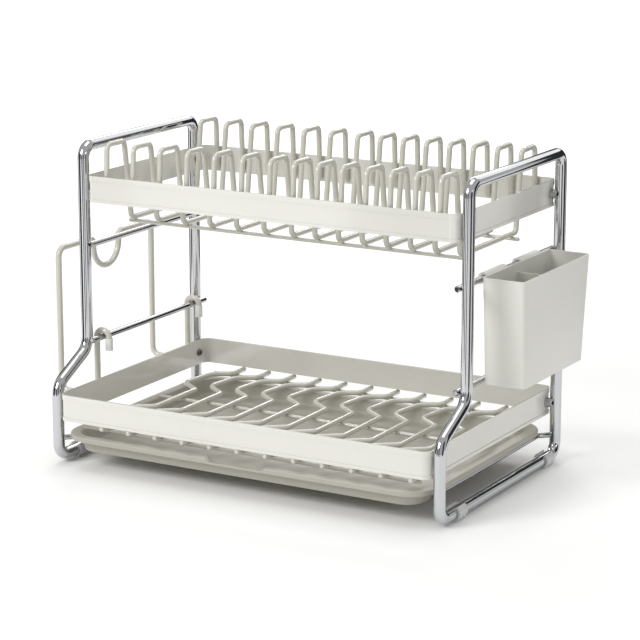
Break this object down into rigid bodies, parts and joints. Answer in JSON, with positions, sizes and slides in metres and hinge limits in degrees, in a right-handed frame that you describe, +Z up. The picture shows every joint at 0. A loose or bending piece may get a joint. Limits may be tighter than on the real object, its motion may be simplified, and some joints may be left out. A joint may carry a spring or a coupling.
{
  "type": "dish drying rack",
  "caption": "Two-tier chromed dish drying rack with cream wire trays, a slide-out drip tray, a hang-on utensil box and a hang-on board holder.",
  "frame": {"origin": "centre of the whole footprint, hang-on parts included, on the underside of the four feet", "axes": "+X to the right along the trays, seen from the front; +Y from front to back; +Z up"},
  "size_m": [0.4948, 0.2652, 0.3077],
  "materials": {
    "frame_chrome": "bright chromed steel tube",
    "rod_chrome": "bright chromed steel rod and welded bosses",
    "foot_clear": "translucent grey soft plastic",
    "band_cream": "gloss warm white coating on steel strip",
    "bolt_dark": "dark steel screw heads",
    "wire_cream": "gloss warm white coating on steel wire",
    "tray_greige": "satin warm grey plastic",
    "box_white": "semi-gloss off-white plastic",
    "cap_white": "soft white plastic end caps"
  },
  "bodies": {
    "rack": {"side_frame_left": "frame_chrome", "side_frame_right": "frame_chrome", "rod_left_upper": "rod_chrome", "rod_left_lower": "rod_chrome", "rod_right_upper": "rod_chrome", "rod_right_lower": "rod_chrome", "runner_left": "rod_chrome", "runner_right": "rod_chrome", "foot_front_left": "foot_clear", "foot_front_right": "foot_clear", "foot_rear_left": "foot_clear", "foot_rear_right": "foot_clear", "upper_band": "band_cream", "lower_band": "band_cream", "band_bosses": "rod_chrome", "band_bolts": "bolt_dark", "plate_wire_1": "wire_cream", "plate_wire_2": "wire_cream", "plate_wire_3": "wire_cream", "plate_wire_4": "wire_cream", "plate_wire_5": "wire_cream", "plate_wire_6": "wire_cream", "plate_wire_7": "wire_cream", "plate_wire_8": "wire_cream", "plate_wire_9": "wire_cream", "plate_wire_10": "wire_cream", "plate_wire_11": "wire_cream", "plate_wire_12": "wire_cream", "plate_wire_13": "wire_cream", "plate_wire_14": "wire_cream", "upper_support_front": "wire_cream", "upper_support_rear": "wire_cream", "wave_wire_1": "wire_cream", "wave_wire_2": "wire_cream", "wave_wire_3": "wire_cream", "wave_wire_4": "wire_cream", "wave_wire_5": "wire_cream", "wave_wire_6": "wire_cream", "wave_wire_7": "wire_cream", "wave_wire_8": "wire_cream", "wave_wire_9": "wire_cream", "wave_wire_10": "wire_cream", "wave_wire_11": "wire_cream", "wave_wire_12": "wire_cream", "lower_support_front": "wire_cream", "lower_support_middle": "wire_cream", "lower_support_rear": "wire_cream"},
    "tray": {"drip_tray": "tray_greige"},
    "box": {"utensil_box": "box_white"},
    "holder": {"board_holder": "wire_cream", "hook_caps": "cap_white"}
  },
  "joints": [
    {"name": "tray_slide", "type": "slide", "parent": "rack", "child": "tray", "axis": [0, -1, 0], "range_m": [0, 0.24]},
    {"name": "box_lift", "type": "slide", "parent": "rack", "child": "box", "axis": [0, 0, 1], "range_m": [0, 0.02]},
    {"name": "holder_lift", "type": "slide", "parent": "rack", "child": "holder", "axis": [0, 0, 1], "range_m": [0, 0.02]}
  ]
}
